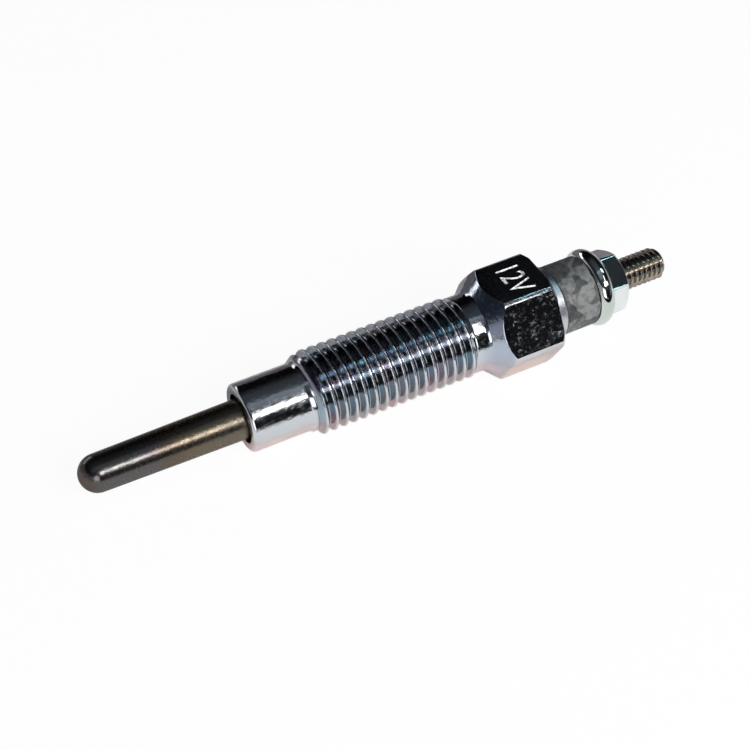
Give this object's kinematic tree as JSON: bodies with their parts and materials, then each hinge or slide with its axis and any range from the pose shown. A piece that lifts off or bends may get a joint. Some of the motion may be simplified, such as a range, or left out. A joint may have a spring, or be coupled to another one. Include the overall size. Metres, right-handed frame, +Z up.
{
  "type": "diesel glow plug",
  "caption": "Screw-in heating plug for a diesel engine: round-tipped heating tube, threaded steel shell with a hexagon, insulating bush and threaded terminal stud.",
  "frame": {"origin": "on the plug's axis at the front face of the shell's nose", "axes": "+X along the axis from the heating tip towards the terminal stud, +Z up through the middle of a flat of the hexagon"},
  "size_m": [0.0746, 0.0136, 0.012],
  "materials": {
    "zinc_plated_steel": "bright zinc plate with a clear blue passivate",
    "heat_tinted_alloy": "heat-tinted nickel alloy, satin",
    "heating_wire": "drawn resistance wire",
    "control_wire": "drawn nickel wire",
    "magnesia": "packed powder",
    "seal_rubber": "moulded",
    "nickel_steel": "nickel-plated steel",
    "grey_nylon": "moulded, slightly translucent",
    "bright_plated_steel": "bright plated"
  },
  "bodies": {
    "root": {"body_shell": "zinc_plated_steel", "glow_tube": "heat_tinted_alloy", "heating_coil": "heating_wire", "control_coil": "control_wire", "insulating_powder": "magnesia", "tube_seal": "seal_rubber", "centre_electrode": "nickel_steel", "o_ring": "seal_rubber", "insulating_bush": "grey_nylon", "terminal_nut": "bright_plated_steel"}
  },
  "joints": []
}
